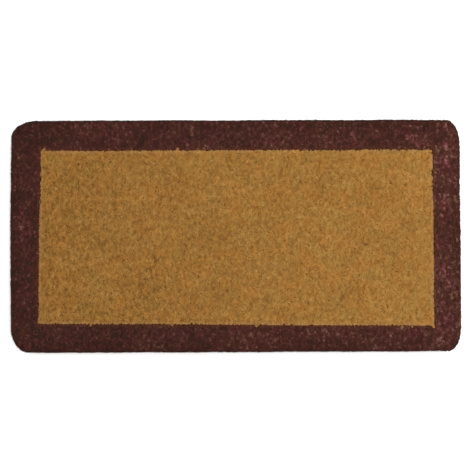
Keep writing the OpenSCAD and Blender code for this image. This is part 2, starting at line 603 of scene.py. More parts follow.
def drift(spots: Array, size: float, seed: int, waves: int = 6) -> Array:
    """Smooth random waves over a plane, about -1 to 1.

    Args:
        spots: places in plan, one a row.
        size: the length of the waves.
        seed: which waves they are.
        waves: how many of them are added.

    Returns:
        The height of the waves at each place.
    """
    draw = np.random.default_rng(seed)
    total = np.zeros(len(spots))
    for _ in range(waves):
        angle = draw.uniform(0, math.tau)
        rate = math.tau / size * draw.uniform(0.6, 1.6)
        way = np.array([math.cos(angle), math.sin(angle)]) * rate
        total += np.sin(spots @ way + draw.uniform(0, math.tau))
    return total / (waves / 2)


# ---- Meshes from points ------------------------------------------------


def plain_mesh(name: str, points: Array, edges: Sequence = (),
               faces: Sequence = ()) -> bpy.types.Mesh:
    """A mesh from plain lists.

    Args:
        name: its name.
        points: its vertices.
        edges: its loose edges.
        faces: its faces.

    Returns:
        The mesh.
    """
    mesh = bpy.data.meshes.new(name)
    mesh.from_pydata(np.asarray(points).tolist(), list(edges), list(faces))
    mesh.update()
    return mesh


def say(mesh: bpy.types.Mesh, name: str, values: Array) -> None:
    """Gives a mesh's points a number or a vector each.

    Args:
        mesh: the mesh.
        name: the attribute's name.
        values: one number or one vector a point.
    """
    values = np.asarray(values, dtype=np.float32)
    kind = "FLOAT" if values.ndim == 1 else "FLOAT_VECTOR"
    layer = mesh.attributes.new(name, kind, "POINT")
    layer.data.foreach_set("value" if values.ndim == 1 else "vector",
                           values.ravel())


def settle(obj: bpy.types.Object) -> bpy.types.Object:
    """Turns what an object's modifiers make into its plain mesh.

    Args:
        obj: the object, which is in the scene.

    Returns:
        The same object, without modifiers.
    """
    graph = bpy.context.evaluated_depsgraph_get()
    mesh = bpy.data.meshes.new_from_object(
        obj.evaluated_get(graph), preserve_all_data_layers=True,
        depsgraph=graph)
    carrier = obj.data
    obj.modifiers.clear()
    obj.data = mesh
    mesh.name = obj.name
    bpy.data.meshes.remove(carrier)
    return obj


def flat_map(mesh: bpy.types.Mesh) -> None:
    """Lays a mesh out on one sheet for baking, seen from a slant above.

    Args:
        mesh: the mesh.
    """
    points = np.empty(len(mesh.vertices) * 3, dtype=np.float32)
    mesh.vertices.foreach_get("co", points)
    points = points.reshape(-1, 3)
    flat = points[:, :2] + points[:, 2:] * np.array([[0.31, 0.17]])
    flat = (flat - flat.min(axis=0)) / np.ptp(flat, axis=0).max()
    write_map(mesh, flat[corner_points(mesh)] * 0.98 + 0.01)


def corner_points(mesh: bpy.types.Mesh) -> Array:
    """The vertex number of each face corner.

    Args:
        mesh: the mesh.

    Returns:
        The numbers, in the order of the corners.
    """
    numbers = np.empty(len(mesh.loops), dtype=np.int32)
    mesh.loops.foreach_get("vertex_index", numbers)
    return numbers


def write_map(mesh: bpy.types.Mesh, places: Array) -> None:
    """Writes the map for baking, named OFBake.

    Args:
        mesh: the mesh.
        places: a place on the map for each face corner.
    """
    layer = mesh.uv_layers.new(name="OFBake")
    layer.uv.foreach_set("vector", places.astype(np.float32).ravel())


# ---- Geometry Nodes ----------------------------------------------------


class GeoTree(Tree):
    """A Geometry Nodes tree with named inputs, which finishes a mesh."""

    def __init__(self, name: str, inputs: dict[str, str]) -> None:
        """Makes the tree's inputs and output.

        Args:
            name: the tree's name.
            inputs: the socket type of each input.
        """
        super().__init__(bpy.data.node_groups.new(name, "GeometryNodeTree"))
        face = self.tree.interface
        face.new_socket("Geometry", in_out="INPUT",
                        socket_type="NodeSocketGeometry")
        face.new_socket("Geometry", in_out="OUTPUT",
                        socket_type="NodeSocketGeometry")
        self.marks = {
            label: face.new_socket(label, in_out="INPUT",
                                   socket_type=kind).identifier
            for label, kind in inputs.items()}
        self.given = self.add("NodeGroupInput")

    def named(self, name: str, kind: str = "FLOAT") -> Wire:
        """What the geometry says under that name."""
        return self.add("GeometryNodeInputNamedAttribute",
                        {"data_type": kind}, {"Name": name})["Attribute"]

    def note(self, shape: Wire, name: str, value: Wire,
             kind: str = "FLOAT") -> Wire:
        """Writes a value at each point of some geometry.

        Args:
            shape: the geometry.
            name: what the value is called.
            value: the value.
            kind: whether it is a number or a vector.

        Returns:
            The same geometry with the value.
        """
        return self.add("GeometryNodeStoreNamedAttribute",
                        {"data_type": kind, "domain": "POINT"},
                        {"Geometry": shape, "Name": name,
                         "Value": value})["Geometry"]

    def close(self, shape: Wire) -> None:
        """Ends the tree in real, smooth geometry with its material.

        Args:
            shape: the geometry so far.
        """
        soft = self.add("GeometryNodeSetShadeSmooth", {},
                        {"Geometry": shape})["Geometry"]
        real = self.add("GeometryNodeRealizeInstances", {},
                        {"Geometry": soft})["Geometry"]
        dressed = self.add("GeometryNodeSetMaterial", {},
                           {"Geometry": real,
                            "Material": self.given["Finish"]})["Geometry"]
        self.add("NodeGroupOutput", {}, {"Geometry": dressed})

    def run(self, name: str, carrier: bpy.types.Mesh,
            values: dict[str, Any]) -> bpy.types.Object:
        """Grows a carrier mesh into a plain finished mesh.

        Args:
            name: the piece's name.
            carrier: the mesh that the tree starts from.
            values: the value of each named input.

        Returns:
            The piece.
        """
        obj = bpy.data.objects.new(name, carrier)
        bpy.context.scene.collection.objects.link(obj)
        modifier = obj.modifiers.new("grow", "NODES")
        modifier.node_group = self.tree
        for label, value in values.items():
            modifier[self.marks[label]] = value
        return settle(obj)


class StandTree(GeoTree):
    """Stands one of several bunches on each point and leans it over."""

    def __init__(self) -> None:
        """Builds the tree."""
        super().__init__("stand_bunches", {
            "Bunches": "NodeSocketCollection", "Seed": "NodeSocketInt",
            "Turn": "NodeSocketFloat", "Girth": "NodeSocketFloat",
            "Finish": "NodeSocketMaterial"})
        given = self.given
        bunches = self.add("GeometryNodeCollectionInfo", {},
                           {"Collection": given["Bunches"],
                            "Separate Children": True,
                            "Reset Children": True})["Instances"]
        which = self.add("FunctionNodeRandomValue", {"data_type": "INT"},
                         {"Min": 0, "Max": 9999,
                          "Seed": given["Seed"]})["Value"]
        turn = self.add("FunctionNodeRandomValue", {"data_type": "FLOAT"},
                        {"Min": 0.0, "Max": given["Turn"],
                         "Seed": given["Seed"]})["Value"]
        turned = self.add("ShaderNodeCombineXYZ", {}, {"Z": turn})["Vector"]
        facing = self.add("FunctionNodeEulerToRotation", {},
                          {"Euler": turned})["Rotation"]
        size = self.add("ShaderNodeCombineXYZ", {},
                        {"X": given["Girth"], "Y": given["Girth"],
                         "Z": self.named("reach")})["Vector"]
        stood = self.add("GeometryNodeInstanceOnPoints", {},
                         {"Points": given["Geometry"], "Instance": bunches,
                          "Pick Instance": True, "Instance Index": which,
                          "Rotation": facing, "Scale": size})["Instances"]
        real = self.add("GeometryNodeRealizeInstances", {},
                        {"Geometry": stood})["Geometry"]
        height = self.named("height")
        lean = self.add("ShaderNodeVectorMath", {"operation": "SCALE"}, {
            0: self.named("lean", "FLOAT_VECTOR"),
            "Scale": height * (2.0 - height)})["Vector"]
        leant = self.add("GeometryNodeSetPosition", {},
                         {"Geometry": real, "Offset": lean})["Geometry"]
        self.close(leant)


class YarnTree(GeoTree):
    """Lays a round yarn along every line of the carrier."""

    def __init__(self) -> None:
        """Builds the tree."""
        super().__init__("lay_yarn", {
            "Radius": "NodeSocketFloat", "Sides": "NodeSocketInt",
            "Finish": "NodeSocketMaterial"})
        line = self.add("GeometryNodeMeshToCurve", {},
                        {"Mesh": self.given["Geometry"]})["Curve"]
        length = self.add("GeometryNodeSplineParameter")["Length"]
        line = self.note(line, "along", length)
        ring = self.add("GeometryNodeCurvePrimitiveCircle",
                        {"mode": "RADIUS"},
                        {"Resolution": self.given["Sides"],
                         "Radius": self.given["Radius"]})["Curve"]
        place = self.add("GeometryNodeInputPosition")["Position"]
        ring = self.note(ring, "around", place, "FLOAT_VECTOR")
        tube = self.add("GeometryNodeCurveToMesh", {},
                        {"Curve": line, "Profile Curve": ring,
                         "Fill Caps": True})["Mesh"]
        self.close(tube)

    def lay(self, name: str, lines: "Lines", radius: float, sides: int,
            finish: "YarnFinish", node: str) -> bpy.types.Object:
        """Lays one piece of yarn.

        Args:
            name: the piece's name.
            lines: the paths of its yarns.
            radius: the yarn's radius.
            sides: how many sides the yarn's mesh has.
            finish: what it looks like.
            node: the CAD node that it stands for.

        Returns:
            The piece.
        """
        obj = self.run(name, lines.mesh(), {
            "Radius": radius, "Sides": sides, "Finish": finish.made()})
        flat_map(obj.data)
        return adopt(obj, finish.slot, node)


# ---- Bunches of fibre --------------------------------------------------


def tube_faces(first: int, rings: int) -> list[tuple[int, ...]]:
    """The side faces of a tube with three sides.

    Args:
        first: the number of its first point.
        rings: how many rings of points it has.

    Returns:
        The faces, ring by ring.
    """
    faces = []
    for low in range(first, first + 3 * (rings - 1), 3):
        for side in range(3):
            ahead = (side + 1) % 3
            faces.append((low + side, low + ahead,
                          low + 3 + ahead, low + 3 + side))
    return faces


@dataclass(frozen=True)
class Shapes:
    """A few different small shapes, of which a piece has many copies."""

    name: str
    seed: int
    kinds: int = 8

    def collection(self) -> bpy.types.Collection:
        """Builds the shapes in a collection that isn't in the scene.

        Returns:
            The collection.
        """
        draw = np.random.default_rng(self.seed)
        group = bpy.data.collections.new(self.name)
        for kind in range(self.kinds):
            mesh = self._shape(f"{self.name}_{kind}", draw)
            group.objects.link(bpy.data.objects.new(mesh.name, mesh))
        return group

    def _shape(self, name: str, draw: np.random.Generator) -> bpy.types.Mesh:
        """One of the shapes, which each kind of shape makes in its own way."""
        raise NotImplementedError


@dataclass(frozen=True)
class Bunches(Shapes):
    """Bunches of cut fibre, which the pile is made of."""

    levels: tuple[float, ...] = (0.0, 0.93)
    fibres: int = 5
    foot: float = 1.55 * MM
    girth: float = 2.1 * MM
    spread: float = 1.9 * MM
    flop: float = 1.3 * MM
    inner: tuple[float, float] = (0.0, 0.3)
    outer: tuple[float, float] = (0.85, 1.2)
    flops: tuple[float, float] = (0.2, 1.0)
    tops: tuple[float, float] = (0.965, 1.01)
    girths: tuple[float, float] = (0.85, 1.15)
    bend: float = 0.35
    twist: float = 0.5

    @property
    def points_each(self) -> int:
        """How many points one fibre strand has."""
        return 3 * len(self.levels) + 1

    def _shape(self, name: str, draw: np.random.Generator) -> bpy.types.Mesh:
        """One bunch, one unit high.

        Args:
            name: the mesh's name.
            draw: where its random numbers come from.

        Returns:
            The mesh, with its fibre and height at each point.
        """
        points, faces, fibre, height = [], [], [], []
        start = draw.uniform(0, math.tau)
        for number in range(self.fibres):
            first = len(points)
            angle = start + math.tau * number / (self.fibres - 1)
            reach = self.spread * draw.uniform(*(
                self.outer if number > 0 else self.inner))
            foot = np.array([math.cos(angle), math.sin(angle)]) * reach
            way = draw.uniform(0, math.tau)
            flop = self.flop * draw.uniform(*self.flops)
            bend = np.array([math.cos(way), math.sin(way)]) * flop
            top = draw.uniform(*self.tops)
            twist = draw.uniform(0, math.tau)
            strand = draw.random()
            for level in self.levels:
                share = level / max(self.levels)
                radius = self.foot + (self.girth - self.foot) * share
                radius *= draw.uniform(*self.girths)
                centre = foot + bend * self.bend * share ** 2
                for side in range(3):
                    turn = twist + math.tau * side / 3 + self.twist * share
                    points.append((centre[0] + radius * math.cos(turn),
                                   centre[1] + radius * math.sin(turn),
                                   level * top))
                    height.append(level)
            points.append((foot[0] + bend[0], foot[1] + bend[1], top))
            height.append(1.0)
            fibre.extend([strand] * self.points_each)
            faces.extend(self._strand_faces(first))
        mesh = plain_mesh(name, np.array(points), faces=faces)
        say(mesh, "fibre", np.array(fibre))
        say(mesh, "height", np.array(height))
        return mesh

    def _strand_faces(self, first: int) -> list[tuple[int, ...]]:
        """The faces of one strand.

        Args:
            first: the number of its first point.

        Returns:
            Its sides from the foot up, its tip, and its foot.
        """
        rings = len(self.levels)
        faces = tube_faces(first, rings)
        low = first + 3 * (rings - 1)
        for side in range(3):
            faces.append((low + side, low + (side + 1) % 3, low + 3))
        faces.append((first + 2, first + 1, first))
        return faces

    def cell_map(self) -> Array:
        """Where one strand's face corners lie in its cell of the map.

        Returns:
            A place for each corner, in the order of the strand's faces.
        """
        places: list[tuple[float, float]] = []
        rings = len(self.levels)
        rise = 0.92 / rings
        for ring in range(rings):
            low, high = 0.08 + rise * ring, 0.08 + rise * (ring + 1)
            for side in range(3):
                left, right = side / 3, (side + 1) / 3
                places += [(left, low), (right, low)]
                if ring < rings - 1:
                    places += [(right, high), (left, high)]
                else:
                    places.append(((left + right) / 2, high))
        places += [(0.0, 0.0), (1.0, 0.0), (0.5, 0.06)]
        return np.array(places)

    def lay_out(self, mesh: bpy.types.Mesh) -> None:
        """Gives each strand of a grown piece a cell of the baking map.

        Args:
            mesh: the piece's mesh.
        """
        cell = self.cell_map()
        strands = len(mesh.loops) // len(cell)
        across = math.ceil(math.sqrt(strands))
        number = np.arange(strands)
        corner = np.stack([number % across, number // across], axis=1)
        places = corner[:, None, :] + 0.06 + cell[None] * 0.88
        write_map(mesh, places.reshape(-1, 2) / across)


@dataclass(frozen=True)
class Curls(Shapes):
    """Loose fibres that lie curled on the sheared top."""

    kinds: int = 10
    steps: int = 5
    thick: float = 0.24 * MM
    small: float = 2.0 * MM
    large: float = 5.0 * MM
    arc: tuple[float, float] = (3.584 * MM, 11.264 * MM)
    ripple: float = 0.5 * MM
    narrow: float = 0.45

    def _shape(self, name: str, draw: np.random.Generator) -> bpy.types.Mesh:
        """One curl, lying flat round the origin.

        Args:
            name: the mesh's name.
            draw: where its random numbers come from.

        Returns:
            The mesh, with its fibre and height at each point.
        """
        radius = draw.uniform(self.small, self.large)
        sweep = draw.uniform(*self.arc) / radius
        angle = np.linspace(-sweep / 2, sweep / 2, self.steps)
        path = np.stack([radius * (np.cos(angle) - 1),
                         radius * np.sin(angle),
                         self.ripple * np.cos(angle * 2.1)], axis=1)
        way = np.stack([-np.sin(angle), np.cos(angle),
                        np.zeros_like(angle)], axis=1)
        side = np.cross(way, (0, 0, 1))
        points: list[Array] = []
        for step in range(self.steps):
            end = step in (0, self.steps - 1)
            thick = self.thick * (self.narrow if end else 1.0)
            for corner in range(3):
                turn = math.tau * corner / 3
                points.append(path[step]
                              + side[step] * thick * math.cos(turn)
                              + np.array([0, 0, thick * math.sin(turn)]))
        faces = [(2, 1, 0)] + tube_faces(0, self.steps)
        last = 3 * (self.steps - 1)
        faces.append((last, last + 1, last + 2))
        mesh = plain_mesh(name, np.array(points), faces=faces)
        say(mesh, "fibre", np.full(len(points), draw.random()))
        say(mesh, "height", np.zeros(len(points)))
        return mesh


# ---- Pile --------------------------------------------------------------


class Zone(Enum):
    """Which part of the pile a tuft is in."""

    FIELD = "field"
    FRONT = "front"
    REAR = "rear"
    LEFT = "left"
    RIGHT = "right"

    @property
    def node(self) -> str:
        """The CAD node that holds this part's place."""
        return "pile_field" if self is Zone.FIELD else f"pile_border_{self.value}"


def adopt(obj: bpy.types.Object, slot: str, *nodes: str) -> bpy.types.Object:
    """Makes a mesh a piece of the mat.

    Args:
        obj: the mesh object.
        slot: the record's material slot; not used.
        nodes: the CAD nodes that it stands for.

    Returns:
        The same object.
    """
    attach(obj, BODY)
    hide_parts(*nodes)
    log.info("%s: %d faces", obj.name, len(obj.data.polygons))
    return obj


@dataclass
class Pile:
    """The cut pile, from its feet in the foundation to its sheared top."""

    outline: Outline
    stand: StandTree
    row_step: float = ROW_STEP / 2
    bunch_step: float = 4.5 * MM
    jitter: float = 0.75 * MM
    lean: float = 12.5 * MM
    lean_depth: float = 46 * MM
    shear: float = 7 * MM
    sink: float = 1.2 * MM
    edge: float = 0.8 * MM
    tip: float = 0.5 * MM
    uneven: float = 0.35 * MM
    swell: float = 0.45 * MM
    swell_size: float = 90 * MM
    rim_depth: float = 18 * MM
    # Width of the painted shade along the outline's edge.
    rim_shade_width: float = 4 * MM
    side_rings: tuple[tuple[float, float], ...] = (
        (-0.3 * MM, 7.5 * MM), (0.4 * MM, 13.5 * MM))
    side_step: float = 3.2 * MM
    side_loose: tuple[float, float] = (0.5 * MM, 0.9 * MM)
    side_radius: float = 36 * MM
    side_tuck: float = 0.6 * MM
    ragged: float = 0.5 * MM
    apart: float = 2.2 * MM
    stray: float = 3.6 * MM
    stray_share: float = 0.02
    seam_width: float = 6.5 * MM
    wave: float = 0.5 * MM
    wave_size: float = 160 * MM
    slant: float = 3.0 * MM
    tilt: float = 3.8 * MM
    right_shift: float = 3.6 * MM
    front_shift: float = 4.2 * MM
    rear_shift: float = 3.2 * MM
    wobble: float = 0.5 * MM
    wobble_size: float = 210 * MM
    bow: float = 1.5 * MM
    way_radius: float = 80 * MM
    wander_depth: float = 60 * MM
    step_width: float = 8 * MM
    end_rows: int = 7
    field_parts: int = 5
    seed: int = 11
    tufts: Bunches = Bunches("cut_bunch", seed=3)
    rim_tufts: Bunches = Bunches("rim_bunch", seed=4, spread=1.6 * MM,
                                 levels=(0.0, 0.42, 0.90))

    def build(self) -> list[bpy.types.Object]:
        """Grows every part of the pile.

        Returns:
            The pieces.
        """
        self.draw = np.random.default_rng(self.seed)
        self.dress = {Zone.FIELD: NATURAL.build()}
        dyed = DYED.build()
        for zone in (Zone.FRONT, Zone.REAR, Zone.LEFT, Zone.RIGHT):
            self.dress[zone] = dyed
        self.plain = self.tufts.collection()
        self.rimmed = self.rim_tufts.collection()
        top = self._top_tips()
        inset = self.outline.inset(top[:, :2])
        zone = self._zones(top[:, :2])
        rim = inset < self.rim_depth
        sides = self._side_tips()
        pieces = []
        for part in Zone:
            mine = zone == part.value
            if part is Zone.FIELD:
                cuts = np.array_split(np.flatnonzero(mine), self.field_parts)
                for number, cut in enumerate(cuts, 1):
                    pieces.append(self._grow(
                        f"field_tufts_{number}", part, top[cut], None))
                continue
            pieces.append(self._grow(f"border_tufts_{part.value}", part,
                                     top[mine & ~rim], None))
            outer = sides[self._zones(sides[:, :2]) == part.value]
            pieces.append(self._grow(f"border_rim_{part.value}", part,
                                     top[mine & rim], outer))
        return pieces

    def _top_tips(self) -> Array:
        """Where the bunches end on the sheared top.

        Returns:
            A place in space a row.
        """
        line = self.outline
        across = np.arange(-line.half_len + self.row_step / 2, line.half_len,
                           self.row_step)
        along = np.arange(-line.half_wid + self.bunch_step / 2, line.half_wid,
                          self.bunch_step)
        spots = np.stack(np.meshgrid(across, along, indexing="ij"), axis=-1)
        spots[1::2, :, 1] += self.bunch_step / 2
        spots = spots.reshape(-1, 2)
        spots = spots + self.draw.uniform(-1, 1, spots.shape) * self.jitter
        inset = line.inset(spots)
        spots = self._part(spots[inset > self.edge])
        inset = line.inset(spots)
        dip = np.maximum(self.shear - inset, 0)
        drop = self.shear - np.sqrt(self.shear ** 2 - dip ** 2)
        uneven = (self.draw.normal(0, self.uneven, len(spots))
                  + drift(spots, self.swell_size, 5) * self.swell)
        height = line.top - self.tip - drop + uneven
        return np.column_stack([spots, height])

    def _side_tips(self) -> Array:
        """Where the bunches end that cover the mat's upright sides.

        Returns:
            A place in space a row.
        """
        rings = []
        out, up = self.side_loose
        for inset, depth in self.side_rings:
            spots, ways = self.outline.walk(inset, self.side_step)
            loose = self.draw.uniform(-1, 1, (len(spots), 3))
            spots = spots + ways * loose[:, :1] * out
            level = self.outline.top - depth + loose[:, 2] * up
            rings.append(np.column_stack([spots, level]))
        return np.concatenate(rings)

    def _zones(self, spots: Array) -> Array:
        """Which part of the pile each place is in, with a ragged edge.

        Args:
            spots: places in plan, one a row.

        Returns:
            The name of a zone for each of them.
        """
        loose = self.draw.uniform(-1, 1, len(spots)) * self.ragged
        loose += self.stray * (self.draw.random(len(spots)) < self.stray_share)
        inside = self._within_field(spots) + loose > 0
        ends = self.outline.half_len - self.end_rows * ROW_STEP
        x, y = spots.T
        names = np.where(y > 0, Zone.REAR.value, Zone.FRONT.value)
        names = np.where(np.abs(x) > ends,
                         np.where(x > 0, Zone.RIGHT.value, Zone.LEFT.value),
                         names)
        return np.where(inside, Zone.FIELD.value, names)

    def _part(self, spots: Array) -> Array:
        """Moves the bunches next to the field's edge into two straight lines.

        Args:
            spots: places in plan, one a row.

        Returns:
            The places, none of them nearer to the edge than `apart`.
        """
        depth = self._within_field(spots)
        step = 0.1 * MM
        slopes = [(self._within_field(spots + way) - depth) / step
                  for way in np.eye(2) * step]
        push = np.sign(depth) * np.maximum(self.apart - np.abs(depth), 0)
        return spots + np.stack(slopes, axis=1) * push[:, None]

    def _within_field(self, spots: Array) -> Array:
        """How far inside the natural field each place is.

        Args:
            spots: places in plan, one a row.

        Returns:
            The distance inwards, which is negative on the border.
        """
        line = self.outline
        x, y = spots.T + drift(spots, self.wave_size, 8) * self.wave
        left = BORDER - line.half_len + self.slant * y / line.half_wid
        right = line.half_len - BORDER + self.right_shift
        front = BORDER - line.half_wid - self.front_shift
        front = front - self.tilt * x / line.half_len
        rear = line.half_wid - BORDER - self.rear_shift
        return np.minimum(np.minimum(x - left, right - x),
                          np.minimum(y - front, rear - y))

    def _carrier(self, tips: Array, sides: Array | None) -> bpy.types.Mesh:
        """The feet of some bunches, and how each of them stands.

        Args:
            tips: where bunches end on the top.
            sides: where bunches end on the upright sides, if any.

        Returns:
            A mesh of points.
        """
        line = self.outline
        inset = line.inset(tips[:, :2])
        way = line.outward(tips[:, :2], self.way_radius)
        share = np.clip(1 - inset / self.lean_depth, 0, 1)
        lean = way * (self.lean * share ** 1.4)[:, None]
        if sides is not None:
            out = line.outward(sides[:, :2], self.side_radius)
            tips = np.concatenate([tips, sides])
            lean = np.concatenate([lean, out * (self.lean - self.side_tuck)])
        wobble = drift(tips[:, :2], self.wobble_size, 9) * self.wobble
        wobble -= self.bow * np.abs(tips[:, 1] / line.half_wid) ** 3 * (
            np.abs(tips[:, 0]) / line.half_len) ** 8
        near = np.clip(1 - line.inset(tips[:, :2]) / self.wander_depth, 0, 1)
        shift = line.outward(tips[:, :2], self.way_radius)
        shift = shift * (wobble * near)[:, None]
        plan = tips[:, :2] + shift
        foot = line.base - self.sink
        feet = np.column_stack([plan - lean, np.full(len(tips), foot)])
        mesh = plain_mesh("tuft_feet", feet)
        say(mesh, "reach", tips[:, 2] - foot)
        say(mesh, "lean", np.column_stack([lean, np.zeros(len(tips))]))
        say(mesh, "tone", self.draw.random(len(tips)))
        # Band along the field's edge for the seam colour: painted shade on the border
        # side, a lighter edge on the field side.
        seam = 1 - np.abs(self._within_field(tips[:, :2])) / self.seam_width
        say(mesh, "seam", np.clip(seam, 0, 1))
        # The fibre's colour also gets painted light and shade across the mat.
        say(mesh, "faded", self._painted_light_and_shade(tips[:, :2]))
        return mesh

    def _painted_light_and_shade(self, spots: Array) -> Array:
        """Painted light and shade in the fibre's colour at each place.

        Args:
            spots: places in plan, one a row.

        Returns:
            The painted light, which is negative where shade is painted.
        """
        line = self.outline
        x, y = spots.T
        right = (x - line.half_len + BORDER) / self.step_width
        rear = (y - line.half_wid + BORDER) / self.step_width
        rim = 1 - line.inset(spots) / self.rim_shade_width
        # Painted light: lighter to the right and a little to the rear, with the right
        # border a step lighter and the rear border a step darker; painted shade near the
        # outline's edge.
        return (0.5 * np.clip(right, 0, 1) + 0.60 * x / line.half_len
                + 0.08 * y / line.half_wid - 0.25 * np.clip(rear, 0, 1)
                - 1.3 * np.clip(rim, 0, 1))

    def _grow(self, name: str, zone: Zone, tips: Array,
              sides: Array | None) -> bpy.types.Object:
        """Grows one piece of pile.

        Args:
            name: the piece's name.
            zone: the part of the pile that it is in.
            tips: where its bunches end on the top.
            sides: where bunches end on the upright sides, for the rim.

        Returns:
            The piece.
        """
        bunches = self.tufts if sides is None else self.rim_tufts
        group = self.plain if sides is None else self.rimmed
        obj = self.stand.run(name, self._carrier(tips, sides), {
            "Bunches": group, "Seed": self.seed, "Turn": math.tau,
            "Girth": 1.0, "Finish": self.dress[zone]})
        bunches.lay_out(obj.data)
        slot = (NATURAL if zone is Zone.FIELD else DYED).slot
        return adopt(obj, slot, zone.node)


@dataclass
class LooseFibres:
    """Single fibres that lie loose on the sheared top."""

    outline: Outline
    stand: StandTree
    on_field: int = 700
    on_border: int = 650
    tries: int = 6000
    margin: float = 6 * MM
    sunk: float = 0.3 * MM
    uneven: float = 0.3 * MM
    seed: int = 23

    def build(self) -> list[bpy.types.Object]:
        """Scatters the loose fibres.

        Returns:
            The piece on the field and the piece on the border.
        """
        draw = np.random.default_rng(self.seed)
        line = self.outline
        half = line.half
        spots = draw.uniform(-1, 1, (self.tries, 2)) * half
        inner = (np.abs(spots) < half - BORDER).all(axis=1)
        edge = line.inset(spots) > self.margin
        curls = Curls("curl", self.seed).collection()
        field_spots = spots[inner][:self.on_field]
        rim_spots = spots[~inner & edge][:self.on_border]
        return [self._lay("loose_fibres_field", field_spots, curls,
                          LOOSE_NATURAL, Zone.FIELD.node),
                self._lay("loose_fibres_border", rim_spots, curls,
                          LOOSE_DYED, Zone.FRONT.node)]

    def _lay(self, name: str, spots: Array, curls: bpy.types.Collection,
             finish: PileFinish, node: str) -> bpy.types.Object:
        """Lays one piece of loose fibres.

        Args:
            name: the piece's name.
            spots: where the fibres lie.
            curls: the shapes that they have.
            finish: what they look like.
            node: the CAD node that they belong to.

        Returns:
            The piece.
        """
        draw = np.random.default_rng(self.seed + len(spots))
        level = self.outline.top - self.sunk
        level = level + draw.normal(0, self.uneven, len(spots))
        mesh = plain_mesh("loose_spots", np.column_stack([spots, level]))
        say(mesh, "reach", np.ones(len(spots)))
        say(mesh, "lean", np.zeros((len(spots), 3)))
        say(mesh, "tone", draw.random(len(spots)))
        obj = self.stand.run(name, mesh, {
            "Bunches": curls, "Seed": self.seed, "Turn": math.tau,
            "Girth": 1.0, "Finish": finish.build()})
        flat_map(obj.data)
        return adopt(obj, finish.slot, node)


# ---- Foundation --------------------------------------------------------


class Lines:
    """Yarn paths, gathered into one carrier mesh."""

    def __init__(self) -> None:
        """Starts with no path."""
        self.points: list[Array] = []
        self.edges: list[Array] = []
        self.count = 0

    def add(self, path: Array, closed: bool = False) -> None:
        """Adds one path.

        Args:
            path: its points in order.
            closed: whether its end joins its start.
        """
        steps = np.arange(len(path) - 1)
        edges = np.stack([steps, steps + 1], axis=1)
        if closed:
            edges = np.vstack([edges, [len(path) - 1, 0]])
        self.points.append(np.asarray(path))
        self.edges.append(edges + self.count)
        self.count += len(path)

    def mesh(self) -> bpy.types.Mesh:
        """All the paths as one mesh of points and edges."""
        edges = np.concatenate(self.edges).tolist()
        return plain_mesh("yarn_lines", np.concatenate(self.points), edges)


